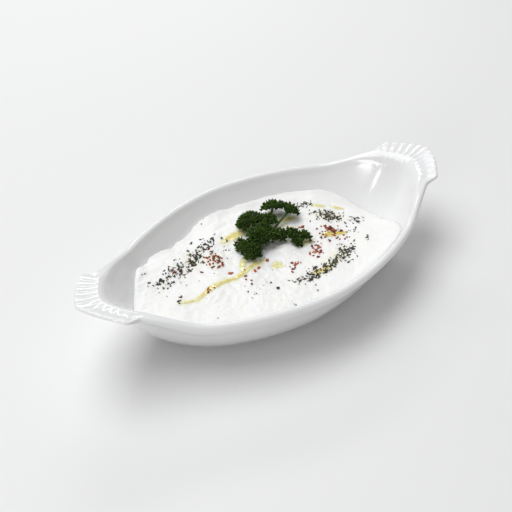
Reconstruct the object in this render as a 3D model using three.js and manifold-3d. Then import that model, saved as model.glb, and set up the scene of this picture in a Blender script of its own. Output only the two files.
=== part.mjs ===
// A white porcelain oval dish with two scallop-shell ears, filled with raita. The raita is dressed with
// dried herb and chilli flakes, and a sprig of curly parsley lies on it.
// X runs along the dish from ear to ear, Y across it, Z up, and the origin is on the table under its middle.

import * as THREE from 'three';
import { mergeVertices } from 'three/addons/utils/BufferGeometryUtils.js';
import Module from 'manifold-3d';

// ---- Driving dimensions, in millimetres ----

const DISH_LENGTH = 250; // over both ears
const RIM_HALF_LENGTH = 109.6; // the bowl's oval rim, where it would close under the ears
const RIM_HALF_WIDTH = 61.8;
const OVAL_POWER = 1.72; // 2 is an ellipse, and less is more pointed
const RIM_HEIGHT = 41; // at the middle of the long sides
const RIM_RISE = 8.8; // how much higher the rim is at the ears
const RISE_START = 70; // the rise starts and ends at these distances from the middle
const RISE_END = 106;
const BASE_HALF_LENGTH = 70;
const BASE_HALF_WIDTH = 35.5;
const WALL_POWER = 0.71; // 1 is a straight wall, and less bulges outwards
const LIP_RADIUS = 2.3; // half the wall's thickness at the rounded lip
const FOOT_HEIGHT = 1.2;
const FOOT_WIDTH = 4.5;
const FLOOR_HEIGHT = 5.2; // top of the floor inside
const FLOOR_INSET = 3.5; // inside floor's edge, in from the base's edge

const EAR_TIP_HEIGHT = 54.2;
const EAR_CORNER_HEIGHT = 51.8;
const EAR_CORNER_X = 109.1;
const EAR_HALF_WIDTH = 24.2;
const EAR_BOW_POWER = 1.46; // 1 is a straight-sided point, 2 a parabola
const EAR_EDGE_RADIUS = 1.4; // half the thickness at the ear's edge, which is thinner than the lip
const EAR_FULL_REACH = 11; // the rim is all ear where the ear's edge is this far beyond it
const EAR_ROOT_HALF_WIDTH = 17.5; // where the fan of ribs leaves the rim
const EAR_NECK_HALF_WIDTH = 22.8; // where the ear's sides meet the rim
const EAR_NECK_EDGE = [101.5, 23.4, 49.8]; // the flared rim's edge there
const FLARE_END_HALF_WIDTH = 37.5; // where that flare has died away
const EAR_RIBS = 11;
const RIB_HEIGHT = 0.6;
const SIDE_STEPS = 14; // from an ear's neck to the middle of the long side

const RAITA_LEVEL = 29.5; // at the middle
const RAITA_EDGE = 27.8; // where it meets the dish
const EDGE_ROUNDING = 2.2; // how far the thick yogurt's rounded edge comes down along the far side
const EDGE_THINNED = 0.4; // and along the near side, where it is smoothed out against the dish
const FLAKE_THICKNESS = 1.1;
const FLAKE_SPACING = 3.4;

const LEAF_THICKNESS = 1.1;
const STEM_RADIUS = 0.9;
const GAP = 0.35; // between pieces that touch

// ---- Helpers ----

const manifold = await Module();
manifold.setup();

const { degToRad, lerp, smoothstep } = THREE.MathUtils;

/** A repeatable random number generator, giving numbers from 0 to 1. */
function randomFrom(seed) {
  let state = seed;
  return () => {
    state = (state + 0x6d2b79f5) | 0;
    let mixed = Math.imul(state ^ (state >>> 15), 1 | state);
    mixed = (mixed + Math.imul(mixed ^ (mixed >>> 7), 61 | mixed)) ^ mixed;
    return ((mixed ^ (mixed >>> 14)) >>> 0) / 4294967296;
  };
}

/** Joins rings of points into one closed surface. A ring of one point closes an end. */
function geometryFromRings(rings) {
  const positions = rings.flat().flatMap((point) => point.toArray());
  const index = [];
  let start = 0;
  for (let r = 0; r + 1 < rings.length; r++) {
    const [low, high] = [rings[r].length, rings[r + 1].length];
    const next = start + low;
    const count = Math.max(low, high);
    for (let i = 0; i < count; i++) {
      const a = start + (i % low);
      const b = start + ((i + 1) % low);
      const c = next + ((i + 1) % high);
      const d = next + (i % high);
      if (a !== b) index.push(a, b, c);
      if (c !== d) index.push(a, c, d);
    }
    start = next;
  }
  const geometry = new THREE.BufferGeometry();
  geometry.setAttribute('position', new THREE.Float32BufferAttribute(positions, 3));
  geometry.setIndex(index);
  return geometry;
}

function solidFrom(geometry) {
  const bare = geometry.clone();
  bare.deleteAttribute('normal');
  bare.deleteAttribute('uv');
  const merged = mergeVertices(bare, 1e-4);
  return new manifold.Manifold(new manifold.Mesh({
    numProp: 3,
    vertProperties: new Float32Array(merged.attributes.position.array),
    triVerts: new Uint32Array(merged.index.array),
  }));
}

function geometryFrom(solid) {
  const mesh = solid.getMesh();
  const geometry = new THREE.BufferGeometry();
  geometry.setAttribute('position', new THREE.Float32BufferAttribute(mesh.vertProperties, 3));
  geometry.setIndex(Array.from(mesh.triVerts));
  return geometry;
}

const joined = (geometries) => geometries.map(solidFrom).reduce((all, next) => all.add(next));

function namedMesh(name, geometry, color, roughness) {
  geometry.computeVertexNormals();
  const material = new THREE.MeshStandardMaterial({ color, roughness, metalness: 0, flatShading: true });
  const mesh = new THREE.Mesh(geometry, material);
  mesh.name = name;
  return mesh;
}

// ---- The dish's form ----

const OVAL_EXPONENT = 2 / OVAL_POWER;

/** A point of an oval in plan. All of the dish's points are worked out in its +X +Y quarter. */
function ovalPoint(halfLength, halfWidth, angle) {
  return new THREE.Vector2(
    halfLength * Math.abs(Math.cos(angle)) ** OVAL_EXPONENT,
    halfWidth * Math.abs(Math.sin(angle)) ** OVAL_EXPONENT,
  );
}

/** The rim's outward direction in plan. */
function rimNormal(angle) {
  return new THREE.Vector2(
    Math.abs(Math.cos(angle)) ** (2 - OVAL_EXPONENT) / RIM_HALF_LENGTH,
    Math.abs(Math.sin(angle)) ** (2 - OVAL_EXPONENT) / RIM_HALF_WIDTH,
  ).normalize();
}

const rimHeight = (x) => RIM_HEIGHT + RIM_RISE * smoothstep(x, RISE_START, RISE_END);

/** The outermost point of the rim in plan, at the height of its top. */
function rimTop(angle) {
  const rim = ovalPoint(RIM_HALF_LENGTH, RIM_HALF_WIDTH, angle);
  return new THREE.Vector3(rim.x, rim.y, rimHeight(rim.x));
}

/** The angle of the rim's point that is a given distance from the long axis. */
const angleAcross = (y) => Math.asin((y / RIM_HALF_WIDTH) ** (1 / OVAL_EXPONENT));

/** The ear's outer edge, at a share of the way from its tip (0) to its corner (1). */
function earEdge(share) {
  const tip = DISH_LENGTH / 2;
  return new THREE.Vector3(
    tip - (tip - EAR_CORNER_X) * share ** EAR_BOW_POWER,
    EAR_HALF_WIDTH * share,
    lerp(EAR_TIP_HEIGHT, EAR_CORNER_HEIGHT, share * share),
  );
}

/**
 * The stations of the +X +Y quarter, from the ear's tip to the middle of the side: the angle on the
 * rim, the ear's edge beyond it or else the rim's, the ear's rib from -1 (groove) to 1 (crest), and
 * whether the raita's outline, which is plainer, has a point there.
 */
function quarterStations() {
  const fan = Array.from({ length: EAR_RIBS + 1 }, (_, i) => ({
    angle: angleAcross(EAR_ROOT_HALF_WIDTH * i / EAR_RIBS),
    edge: earEdge(i / EAR_RIBS),
    rib: i % 2 === 0 ? 1 : -1,
    holdsRaita: i % 4 === 0,
  }));
  const neck = new THREE.Vector3(...EAR_NECK_EDGE);
  const shoulder = {
    angle: angleAcross((EAR_ROOT_HALF_WIDTH + EAR_NECK_HALF_WIDTH) / 2),
    edge: earEdge(1).lerp(neck, 0.6),
    rib: 0,
    holdsRaita: true,
  };
  const neckAngle = angleAcross(EAR_NECK_HALF_WIDTH);
  const flareEnd = angleAcross(FLARE_END_HALF_WIDTH);
  const flare = neck.clone().sub(rimTop(neckAngle));
  const side = Array.from({ length: SIDE_STEPS + 1 }, (_, i) => {
    const angle = lerp(neckAngle, Math.PI / 2, i / SIDE_STEPS);
    const left = Math.max(0, (flareEnd - angle) / (flareEnd - neckAngle));
    return {
      angle,
      edge: rimTop(angle).addScaledVector(flare, left ** 2),
      rib: 0,
      holdsRaita: i % 7 !== 1,
    };
  });
  return [...fan, shoulder, ...side];
}

/** Every station round the dish, anticlockwise from the tip of the +X ear, with its quarter's signs. */
function allStations() {
  const outwards = quarterStations();
  const back = outwards.toReversed();
  const quarters = [
    { stations: outwards, signs: new THREE.Vector3(1, 1, 1) },
    { stations: back, signs: new THREE.Vector3(-1, 1, 1) },
    { stations: outwards, signs: new THREE.Vector3(-1, -1, 1) },
    { stations: back, signs: new THREE.Vector3(1, -1, 1) },
  ];
  return quarters.flatMap(({ stations, signs }) =>
    stations.slice(0, -1).map((station) => ({ ...station, signs })));
}

const STATIONS = allStations();
const ringOf = (stations, pointAt) => stations.map((station) => pointAt(station).multiply(station.signs));

/** From 0 where the rim is plain to 1 where it is all ear. */
function earWeight({ angle, edge }) {
  return smoothstep(edge.distanceTo(rimTop(angle)), 0, EAR_FULL_REACH);
}

/** The outside wall at a share of its height, from the foot (0) to the lip (1). */
function outsidePoint({ angle }, share) {
  const base = ovalPoint(BASE_HALF_LENGTH, BASE_HALF_WIDTH, angle);
  const rim = rimTop(angle);
  const height = lerp(FOOT_HEIGHT, rim.z - LIP_RADIUS, share);
  const plan = base.lerp(rim, share ** WALL_POWER);
  return new THREE.Vector3(plan.x, plan.y, height);
}

/** The inside wall at a share of its height, from the floor (0) to the lip (1). */
function insidePoint({ angle }, share) {
  const floor = ovalPoint(BASE_HALF_LENGTH - FLOOR_INSET, BASE_HALF_WIDTH - FLOOR_INSET, angle);
  const rim = ovalPoint(RIM_HALF_LENGTH, RIM_HALF_WIDTH, angle);
  const height = lerp(FLOOR_HEIGHT, rimHeight(rim.x) - LIP_RADIUS, share);
  rim.addScaledVector(rimNormal(angle), -2 * LIP_RADIUS);
  const plan = floor.lerp(rim, share ** WALL_POWER);
  return new THREE.Vector3(plan.x, plan.y, height);
}

const OUTSIDE_SHARES = [0, 0.08, 0.24, 0.46, 0.72];
const PLAIN_WALL_STRETCH = 1.22; // the outside wall goes higher by this where there is no ear
const INSIDE_SHARES = [0, 0.08, 0.24, 0.46, 0.7, 0.9];

// The lip's section runs round a circle from outside to inside, by degrees, which start later where
// there is no ear. At an ear each of its points also moves out by a share of the way to the ear's
// edge, the circle becomes as thin as that edge, and the ribs lift the points on top.
const LIP_SECTION = [
  { around: -55, plainAround: -27, reach: 0.3, thinned: 0, ribbed: 0 },
  { around: -30, plainAround: -13, reach: 0.8, thinned: 0.6, ribbed: 0 },
  { around: 0, plainAround: 0, reach: 1, thinned: 1, ribbed: 0.3 },
  { around: 45, plainAround: 45, reach: 1, thinned: 1, ribbed: 0.7 },
  { around: 70, plainAround: 70, reach: 0.84, thinned: 0.9, ribbed: 1 },
  { around: 90, plainAround: 90, reach: 0.5, thinned: 0.4, ribbed: 0.9 },
  { around: 115, plainAround: 115, reach: 0.16, thinned: 0, ribbed: 0.3 },
  { around: 150, plainAround: 150, reach: 0, thinned: 0, ribbed: 0 },
];

function lipPoint(station, { around, plainAround, reach, thinned, ribbed }) {
  const { angle, edge, rib } = station;
  const weight = earWeight(station);
  const turned = degToRad(lerp(plainAround, around, weight));
  const radius = lerp(LIP_RADIUS, EAR_EDGE_RADIUS, thinned * weight);
  const normal = rimNormal(angle);
  const inwards = radius * (1 - Math.cos(turned));
  const down = radius * (1 - Math.sin(turned)) - (RIB_HEIGHT / 2) * rib * ribbed;
  return rimTop(angle)
    .lerp(edge, reach)
    .sub(new THREE.Vector3(normal.x * inwards, normal.y * inwards, down));
}

function dishGeometry() {
  const ring = (pointAt) => ringOf(STATIONS, pointAt);
  const baseRing = (inset, height) => ring(({ angle }) => {
    const plan = ovalPoint(BASE_HALF_LENGTH - inset, BASE_HALF_WIDTH - inset, angle);
    return new THREE.Vector3(plan.x, plan.y, height);
  });
  return geometryFromRings([
    [new THREE.Vector3(0, 0, FOOT_HEIGHT)],
    baseRing(FOOT_WIDTH, FOOT_HEIGHT),
    baseRing(FOOT_WIDTH, 0),
    baseRing(0, 0),
    ...OUTSIDE_SHARES.map((share) => ring((station) =>
      outsidePoint(station, share * lerp(PLAIN_WALL_STRETCH, 1, earWeight(station))))),
    ...LIP_SECTION.map((step) => ring((station) => lipPoint(station, step))),
    ...INSIDE_SHARES.toReversed().map((share) => ring((station) => insidePoint(station, share))),
    [new THREE.Vector3(0, 0, FLOOR_HEIGHT)],
  ]);
}

// ---- The raita's surface ----

// How much higher or lower than RAITA_EDGE the raita meets the dish, around directions in degrees.
const EDGE_SWELLS = [
  { direction: -30, spread: 18, height: 8 }, // pushed up the dish beside the +X ear
  { direction: 1, spread: 15.5, height: -9.5 }, // falls away in front of that ear
  { direction: 102, spread: 12, height: 1.5 },
  { direction: 130, spread: 14, height: -2.3 },
  { direction: 158, spread: 9, height: 3.2 },
];

// Low folds left by the spoon, as waves that run across the surface.
const SURFACE_WAVES = [
  { length: 47, towards: 24, height: 0.55, phase: 0.4 },
  { length: 31, towards: 97, height: 0.4, phase: 2.1 },
  { length: 23, towards: 151, height: 0.32, phase: 4.4 },
  { length: 17, towards: 63, height: 0.22, phase: 1.2 },
];

const RAITA_STATIONS = STATIONS.filter((station) => station.holdsRaita);
const RAITA_SIDE_SHARES = [0, 0.1, 0.32, 0.62];
const RAITA_TOP_SHARES = [0.96, 0.89, 0.79, 0.67, 0.54, 0.4, 0.26, 0.12];

/** The height at which the raita meets the dish in a direction. */
function edgeHeight(direction) {
  return EDGE_SWELLS.reduce((height, swell) => {
    const away = direction - degToRad(swell.direction);
    const off = Math.atan2(Math.sin(away), Math.cos(away)) / degToRad(swell.spread);
    return height + swell.height * Math.exp(-off * off);
  }, RAITA_EDGE);
}

function edgeRounding(direction) {
  return lerp(EDGE_THINNED, EDGE_ROUNDING, smoothstep(Math.sin(direction), 0.1, 0.45));
}

/** The raita's point beside the dish's inside wall, at a station and a height. */
function besideWall(station, height) {
  const rows = [
    ...INSIDE_SHARES.map((share) => insidePoint(station, share)),
    lipPoint(station, LIP_SECTION.at(-1)),
  ];
  const upper = Math.max(1, rows.findIndex((point) => point.z >= height));
  const low = rows[upper - 1];
  const high = rows[upper];
  const point = low.clone().lerp(high, (height - low.z) / (high.z - low.z));
  const normal = rimNormal(station.angle);
  return point.sub(new THREE.Vector3(normal.x * GAP, normal.y * GAP, -GAP)).multiply(station.signs);
}

function stationDirection(station) {
  const point = insidePoint(station, 0.7).multiply(station.signs);
  return Math.atan2(point.y, point.x);
}

const RAITA_OUTLINE = RAITA_STATIONS.map((station) =>
  besideWall(station, edgeHeight(stationDirection(station)) - GAP));

/** The distance from the middle to the raita's outline, in plan. */
function outlineDistance(direction) {
  const ray = new THREE.Vector2(Math.cos(direction), Math.sin(direction));
  for (let i = 0; i < RAITA_OUTLINE.length; i++) {
    const from = RAITA_OUTLINE[i];
    const to = RAITA_OUTLINE[(i + 1) % RAITA_OUTLINE.length];
    const side = new THREE.Vector2(to.x - from.x, to.y - from.y);
    const inSector = ray.cross(from) <= 1e-9 && ray.cross(to) > 0 && ray.dot(from) > 0;
    if (inSector) return (from.x * side.y - from.y * side.x) / ray.cross(side);
  }
  throw new Error('no outline in this direction');
}

/** The raita's height where it is a share of the way from the middle (0) to its outline (1). */
function heightAt(x, y, share) {
  const waves = SURFACE_WAVES.reduce((sum, { length, towards, height, phase }) => {
    const along = x * Math.cos(degToRad(towards)) + y * Math.sin(degToRad(towards));
    return sum + height * Math.sin(2 * Math.PI * along / length + phase);
  }, 0);
  const direction = Math.atan2(y, x);
  const rounding = edgeRounding(direction);
  const edge = edgeHeight(direction) + rounding;
  return lerp(RAITA_LEVEL, edge, share ** 4) + waves * (1 - share ** 8) - rounding * share ** 24;
}

function surfaceHeight(x, y) {
  return heightAt(x, y, Math.hypot(x, y) / outlineDistance(Math.atan2(y, x)));
}

/** The raita without anything on it. */
function bareRaitaGeometry() {
  const sideRing = (share) => RAITA_STATIONS.map((station, i) =>
    besideWall(station, lerp(FLOOR_HEIGHT, RAITA_OUTLINE[i].z - GAP, share)));
  const topRing = (share) => RAITA_OUTLINE.map((point) => new THREE.Vector3(
    point.x * share,
    point.y * share,
    heightAt(point.x * share, point.y * share, share),
  ));
  return geometryFromRings([
    [new THREE.Vector3(0, 0, FLOOR_HEIGHT + GAP)],
    ...RAITA_SIDE_SHARES.map(sideRing),
    RAITA_OUTLINE,
    ...RAITA_TOP_SHARES.map(topRing),
    [new THREE.Vector3(0, 0, heightAt(0, 0, 0))],
  ]);
}

// ---- The parsley ----

// Each frilly leaf is a ruffled sheet around its own middle, which leans towards a direction in plan.
// The outer leaves have a stem, and the others grow between them.
const LEAVES = [
  { x: 1.6, y: 25.6, rise: 6.6, radius: 8.8, lean: 24, towards: 140, stem: true },
  { x: 23.2, y: 28.2, rise: 7.2, radius: 8.0, lean: 22, towards: 70, stem: true },
  { x: 30.8, y: 20.8, rise: 6.2, radius: 6.4, lean: 22, towards: 10, stem: true },
  { x: 11.2, y: 19.0, rise: 7.4, radius: 7.6, lean: 8, towards: 60, stem: false },
  { x: -0.8, y: 8.6, rise: 9.2, radius: 9.6, lean: 10, towards: 220, stem: false },
  { x: -11.8, y: 2.8, rise: 4.6, radius: 6.6, lean: 22, towards: 215, stem: true },
  { x: -11.4, y: 12.0, rise: 3.2, radius: 5.8, lean: 8, towards: 165, stem: true },
  { x: 8.8, y: 4.6, rise: 5.6, radius: 5.8, lean: 14, towards: 300, stem: false },
  { x: 16.2, y: 0.6, rise: 4.8, radius: 5.4, lean: 14, towards: 300, stem: true },
  { x: 22.6, y: -3.6, rise: 4.2, radius: 4.6, lean: 18, towards: 320, stem: false },
  { x: 15.6, y: -5.0, rise: 2.2, radius: 3.8, lean: 10, towards: 280, stem: false },
];
const STEM_ROOT = new THREE.Vector2(6, 12);
const LEAF_RINGS = 3;
const POINTS_PER_WAVE = 3;

/** A sheet given as rings of points around its first point, made into a solid of even thickness. */
function thickenedSheet(rings, thickness) {
  const points = rings.flat();
  const half = new THREE.Vector3(0, 0, thickness / 2);
  const positions = [
    ...points.flatMap((point) => point.clone().add(half).toArray()),
    ...points.flatMap((point) => point.clone().sub(half).toArray()),
  ];
  const under = points.length;
  const index = [];
  const facet = (a, b, c) => index.push(a, b, c, under + a, under + c, under + b);
  const count = rings[1].length;
  for (let i = 0; i < count; i++) {
    const next = (i + 1) % count;
    facet(0, 1 + i, 1 + next);
    for (let ring = 1; ring + 1 < rings.length; ring++) {
      const inner = 1 + (ring - 1) * count;
      const outer = inner + count;
      facet(inner + i, outer + i, outer + next);
      facet(inner + i, outer + next, inner + next);
    }
    const rim = points.length - count;
    index.push(rim + i, under + rim + i, under + rim + next);
    index.push(rim + i, under + rim + next, rim + next);
  }
  const geometry = new THREE.BufferGeometry();
  geometry.setAttribute('position', new THREE.Float32BufferAttribute(positions, 3));
  geometry.setIndex(index);
  return geometry;
}

function leafGeometry(leaf, number) {
  const random = randomFrom(31 + number);
  const waves = Math.round(2.5 + leaf.radius / 2);
  const sectors = POINTS_PER_WAVE * waves;
  const phase = random() * 2 * Math.PI;
  const ruffle = 0.27 * leaf.radius;
  const rings = [[new THREE.Vector3()]];
  for (let ring = 1; ring <= LEAF_RINGS; ring++) {
    const share = ring / LEAF_RINGS;
    rings.push(Array.from({ length: sectors }, (_, i) => {
      const angle = 2 * Math.PI * i / sectors;
      const lobes = 0.92 + 0.08 * Math.cos(5 * angle + phase);
      const radius = leaf.radius * share * lobes;
      const height = ruffle * share ** 1.5 * Math.sin(waves * angle + phase) - 0.25 * leaf.radius * share ** 2;
      return new THREE.Vector3(radius * Math.cos(angle), radius * Math.sin(angle), height);
    }));
  }
  const towards = degToRad(leaf.towards);
  const axis = new THREE.Vector3(-Math.sin(towards), Math.cos(towards), 0);
  return thickenedSheet(rings, LEAF_THICKNESS)
    .applyMatrix4(new THREE.Matrix4().makeRotationAxis(axis, degToRad(leaf.lean)))
    .translate(leaf.x, leaf.y, surfaceHeight(leaf.x, leaf.y) + leaf.rise);
}

/** A stem from the root of the sprig, rising to the middle of a leaf. */
function stemGeometry(leaf) {
  const middle = STEM_ROOT.clone().lerp(new THREE.Vector2(leaf.x, leaf.y), 0.5);
  const curve = new THREE.QuadraticBezierCurve3(
    new THREE.Vector3(STEM_ROOT.x, STEM_ROOT.y, surfaceHeight(STEM_ROOT.x, STEM_ROOT.y) + STEM_RADIUS),
    new THREE.Vector3(middle.x, middle.y, surfaceHeight(middle.x, middle.y) + STEM_RADIUS + 0.2 * leaf.rise),
    new THREE.Vector3(leaf.x, leaf.y, surfaceHeight(leaf.x, leaf.y) + leaf.rise),
  );
  const section = new THREE.Shape().absarc(0, 0, STEM_RADIUS, 0, 2 * Math.PI);
  return new THREE.ExtrudeGeometry(section, { steps: 5, curveSegments: 3, extrudePath: curve });
}

/** The sprig, cut to lie on the raita. */
function parsleyGeometry() {
  const stems = LEAVES.filter((leaf) => leaf.stem).map(stemGeometry);
  const sprig = joined([...LEAVES.map(leafGeometry), ...stems]);
  return geometryFrom(sprig.subtract(solidFrom(bareRaitaGeometry().translate(0, 0, GAP))));
}

// ---- The flakes on the raita ----

// The largest flakes, which lie apart from the drifts.
const SINGLE_FLAKES = [
  { x: -30.5, y: -2, length: 3.4 },
  { x: -6.5, y: -5, length: 3 },
  { x: -18.5, y: -9, length: 2.8 },
  { x: -15, y: -8, length: 2.6 },
  { x: -32.5, y: 6.5, length: 2.6 },
  { x: -35.5, y: 11.5, length: 2.8 },
  { x: -49, y: -6.5, length: 2.8 },
  { x: 30, y: 7.5, length: 3 },
  { x: 43.5, y: -6.5, length: 3.2 },
  { x: 17, y: -15, length: 3 },
  { x: 34.5, y: -12, length: 2.6 },
  { x: -43, y: 8.5, length: 2.6 },
  { x: -29.5, y: 16, length: 2.6 },
  { x: -17, y: -28.5, length: 3.2 },
  { x: 39, y: -27.5, length: 3.6 },
  { x: -32, y: 36, length: 2.8 },
  { x: -30, y: 26, length: 3 },
  { x: -43.5, y: 20, length: 3 },
];

// Drifts of dried herb and chilli, each an oval in plan turned by an angle in degrees.
const FLAKE_DRIFTS = [
  { x: -33, y: 24, halfLength: 13, halfWidth: 5, turn: 22, count: 7 },
  { x: -57, y: 15, halfLength: 12, halfWidth: 5, turn: 6, count: 8 },
  { x: -32, y: 11, halfLength: 8, halfWidth: 5, turn: -80, count: 3 },
  { x: 48, y: 14, halfLength: 9, halfWidth: 3, turn: -38, count: 4 },
  { x: 56, y: 1, halfLength: 10, halfWidth: 4, turn: -75, count: 5 },
  { x: 27, y: -28.5, halfLength: 14, halfWidth: 3, turn: 17, count: 7 },
  { x: 6, y: -31, halfLength: 12, halfWidth: 3, turn: -4, count: 3 },
  { x: -24, y: -22, halfLength: 13, halfWidth: 5, turn: -12, count: 3 },
  { x: 42, y: -7, halfLength: 9, halfWidth: 4, turn: -38, count: 3 },
  { x: 19, y: -15, halfLength: 8, halfWidth: 4, turn: -50, count: 2 },
];

function clearOfParsley(x, y) {
  return LEAVES.every((leaf) => Math.hypot(x - leaf.x, y - leaf.y) > leaf.radius + FLAKE_SPACING / 2);
}

/** Where the flakes lie and how long each is: the drifts' are apart from the others and the parsley. */
function layFlakes(random) {
  const flakes = [...SINGLE_FLAKES];
  for (const drift of FLAKE_DRIFTS) {
    let left = drift.count;
    while (left > 0) {
      const out = Math.sqrt(random());
      const angle = 2 * Math.PI * random();
      const place = new THREE.Vector2(drift.halfLength * Math.cos(angle), drift.halfWidth * Math.sin(angle))
        .multiplyScalar(out)
        .rotateAround(new THREE.Vector2(), degToRad(drift.turn))
        .add(new THREE.Vector2(drift.x, drift.y));
      const apart = flakes.every((other) => place.distanceTo(other) > FLAKE_SPACING);
      if (apart && clearOfParsley(place.x, place.y)) {
        flakes.push({ x: place.x, y: place.y, length: lerp(1.6, 2.6, random() ** 2) });
        left -= 1;
      }
    }
  }
  return flakes;
}

function raitaGeometry() {
  const random = randomFrom(7);
  const flakes = layFlakes(random).map(({ x, y, length }) =>
    new THREE.CylinderGeometry(0.4, 0.5, 1, 5)
      .scale(length, FLAKE_THICKNESS, length * lerp(0.5, 0.8, random()))
      .rotateX(Math.PI / 2)
      .rotateY(lerp(-0.2, 0.2, random()))
      .rotateZ(2 * Math.PI * random())
      .translate(x, y, surfaceHeight(x, y)));
  return geometryFrom(joined([bareRaitaGeometry(), ...flakes]));
}

// ---- Assembly ----

const group = new THREE.Group();
group.add(namedMesh('dish', dishGeometry(), 0xf1f1f3, 0.12));
group.add(namedMesh('raita', raitaGeometry(), 0xfbfbf8, 0.45));
group.add(namedMesh('parsley', parsleyGeometry(), 0x1f3d12, 0.6));

export default group;
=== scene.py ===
"""A white porcelain oval dish with two scallop-shell ears, filled with raita: thick yogurt dressed with
dried herb, pepper and chilli flakes and thin oil, with a sprig of curly parsley on it.

All forms are worked out in millimetres and written to the meshes in metres.
"""

import math

import bpy
import numpy as np
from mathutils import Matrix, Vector


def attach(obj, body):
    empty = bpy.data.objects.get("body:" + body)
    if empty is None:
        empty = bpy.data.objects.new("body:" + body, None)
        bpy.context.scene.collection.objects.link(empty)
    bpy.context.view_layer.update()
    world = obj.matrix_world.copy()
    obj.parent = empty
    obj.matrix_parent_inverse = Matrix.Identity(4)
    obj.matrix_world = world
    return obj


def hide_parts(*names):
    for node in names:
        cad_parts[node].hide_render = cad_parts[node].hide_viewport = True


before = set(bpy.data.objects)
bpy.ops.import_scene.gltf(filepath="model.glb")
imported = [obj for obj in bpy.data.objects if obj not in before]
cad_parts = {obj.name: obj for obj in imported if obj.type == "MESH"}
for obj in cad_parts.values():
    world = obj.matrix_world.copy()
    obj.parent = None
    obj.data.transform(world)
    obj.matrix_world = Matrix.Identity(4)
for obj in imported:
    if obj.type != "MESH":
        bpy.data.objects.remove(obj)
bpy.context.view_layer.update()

MM = 0.001

# ---- Driving dimensions in millimetres, the same as the solids' ----

DISH_LENGTH = 250.0
RIM_HALF_LENGTH = 109.6
RIM_HALF_WIDTH = 61.8
OVAL_POWER = 1.72  # 2 is an ellipse, and less is more pointed
OVAL_EXPONENT = 2 / OVAL_POWER
RIM_HEIGHT = 41.0
RIM_RISE = 8.8
RISE_START = 70.0
RISE_END = 106.0
BASE_HALF_LENGTH = 70.0
BASE_HALF_WIDTH = 35.5
WALL_POWER = 0.71
LIP_RADIUS = 2.3
FOOT_HEIGHT = 1.2
FLOOR_HEIGHT = 5.2
FLOOR_INSET = 3.5
EAR_TIP_HEIGHT = 54.2
EAR_CORNER_HEIGHT = 51.8
EAR_CORNER_X = 109.1
EAR_HALF_WIDTH = 24.2
EAR_BOW_POWER = 1.46
EAR_ROOT_HALF_WIDTH = 17.5
EAR_NECK_HALF_WIDTH = 22.8
EAR_NECK_EDGE = (101.5, 23.4, 49.8)
FLARE_END_HALF_WIDTH = 37.5
EAR_EDGE_RADIUS = 1.4
EAR_RIBS = 11
EAR_FULL_REACH = 11.0
RIB_HEIGHT = 0.6
RAITA_LEVEL = 29.5
RAITA_EDGE = 27.8
EDGE_ROUNDING = 2.2
EDGE_THINNED = 0.4
FLAKE_SPACING = 3.4
GAP = 0.35  # between pieces that touch


# ---- Helpers ----


def lerp(a, b, share):
    return a + (b - a) * share


def mix(a, b, share):
    """Colours at a share of the way from a to b."""
    return a * (1 - share) + b * share


def smoothstep(x, start, end):
    share = np.clip((x - start) / (end - start), 0, 1)
    return share * share * (3 - 2 * share)


def bump(x, middle, width):
    return np.exp(-(((x - middle) / width) ** 2))


def unit(vectors):
    return vectors / np.linalg.norm(vectors, axis=-1, keepdims=True)


def signed_power(values, power):
    return np.sign(values) * np.abs(values) ** power


def angles_round(count):
    return np.linspace(0, 2 * math.pi, count, endpoint=False)


def turned_place(x, y, along, across, turn):
    """The place that lies along and across from x, y in axes turned by some degrees."""
    c = math.cos(math.radians(turn))
    s = math.sin(math.radians(turn))
    return x + along * c - across * s, y + along * s + across * c


def curve(t, start, leave, end, arrive):
    """The smooth curve from start to end with the given slopes there."""
    return (
        (2 * t**3 - 3 * t**2 + 1) * start
        + (t**3 - 2 * t**2 + t) * leave
        + (3 * t**2 - 2 * t**3) * end
        + (t**3 - t**2) * arrive
    )


def random_from(seed):
    """The same repeatable random numbers as the solids use, from 0 to 1."""
    state = seed
    whole = 0xFFFFFFFF

    def draw():
        nonlocal state
        state = (state + 0x6D2B79F5) & whole
        mixed = ((state ^ (state >> 15)) * (1 | state)) & whole
        mixed = (((mixed + ((mixed ^ (mixed >> 7)) * (61 | mixed))) & whole) ^ mixed) & whole
        return (mixed ^ (mixed >> 14)) / 4294967296

    return draw


class Noise:
    """Smooth gradient noise over the plane, from about -1 to 1."""

    SIDE = 64

    def __init__(self, seed):
        angles = np.random.default_rng(seed).uniform(0, 2 * math.pi, (self.SIDE, self.SIDE))
        self.slopes = np.stack([np.cos(angles), np.sin(angles)], axis=-1)

    def __call__(self, x, y, length):
        u = np.asarray(x) / length
        v = np.asarray(y) / length
        i = np.floor(u).astype(int)
        j = np.floor(v).astype(int)
        u = u - i
        v = v - j

        def corner(di, dj):
            slope = self.slopes[(i + di) % self.SIDE, (j + dj) % self.SIDE]
            return slope[..., 0] * (u - di) + slope[..., 1] * (v - dj)

        fade_u = u * u * u * (u * (u * 6 - 15) + 10)
        fade_v = v * v * v * (v * (v * 6 - 15) + 10)
        low = lerp(corner(0, 0), corner(1, 0), fade_u)
        high = lerp(corner(0, 1), corner(1, 1), fade_u)
        return 1.5 * lerp(low, high, fade_v)


def rings_to_faces(ring_count, point_count):
    """Quads between rings of equal numbers of points, which close round."""
    here = np.arange((ring_count - 1) * point_count).reshape(-1, point_count)
    following = np.roll(here, -1, axis=1)
    corners = [here, following, following + point_count, here + point_count]
    return np.stack(corners, axis=-1).reshape(-1, 4)


def cap_faces(tip, first, point_count, flipped):
    """Triangles from a tip to the ring of points that begins at first."""
    here = first + np.arange(point_count)
    following = np.roll(here, -1)
    middle = np.full(point_count, tip)
    order = [middle, following, here] if flipped else [middle, here, following]
    return np.stack(order, axis=-1)


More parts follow.
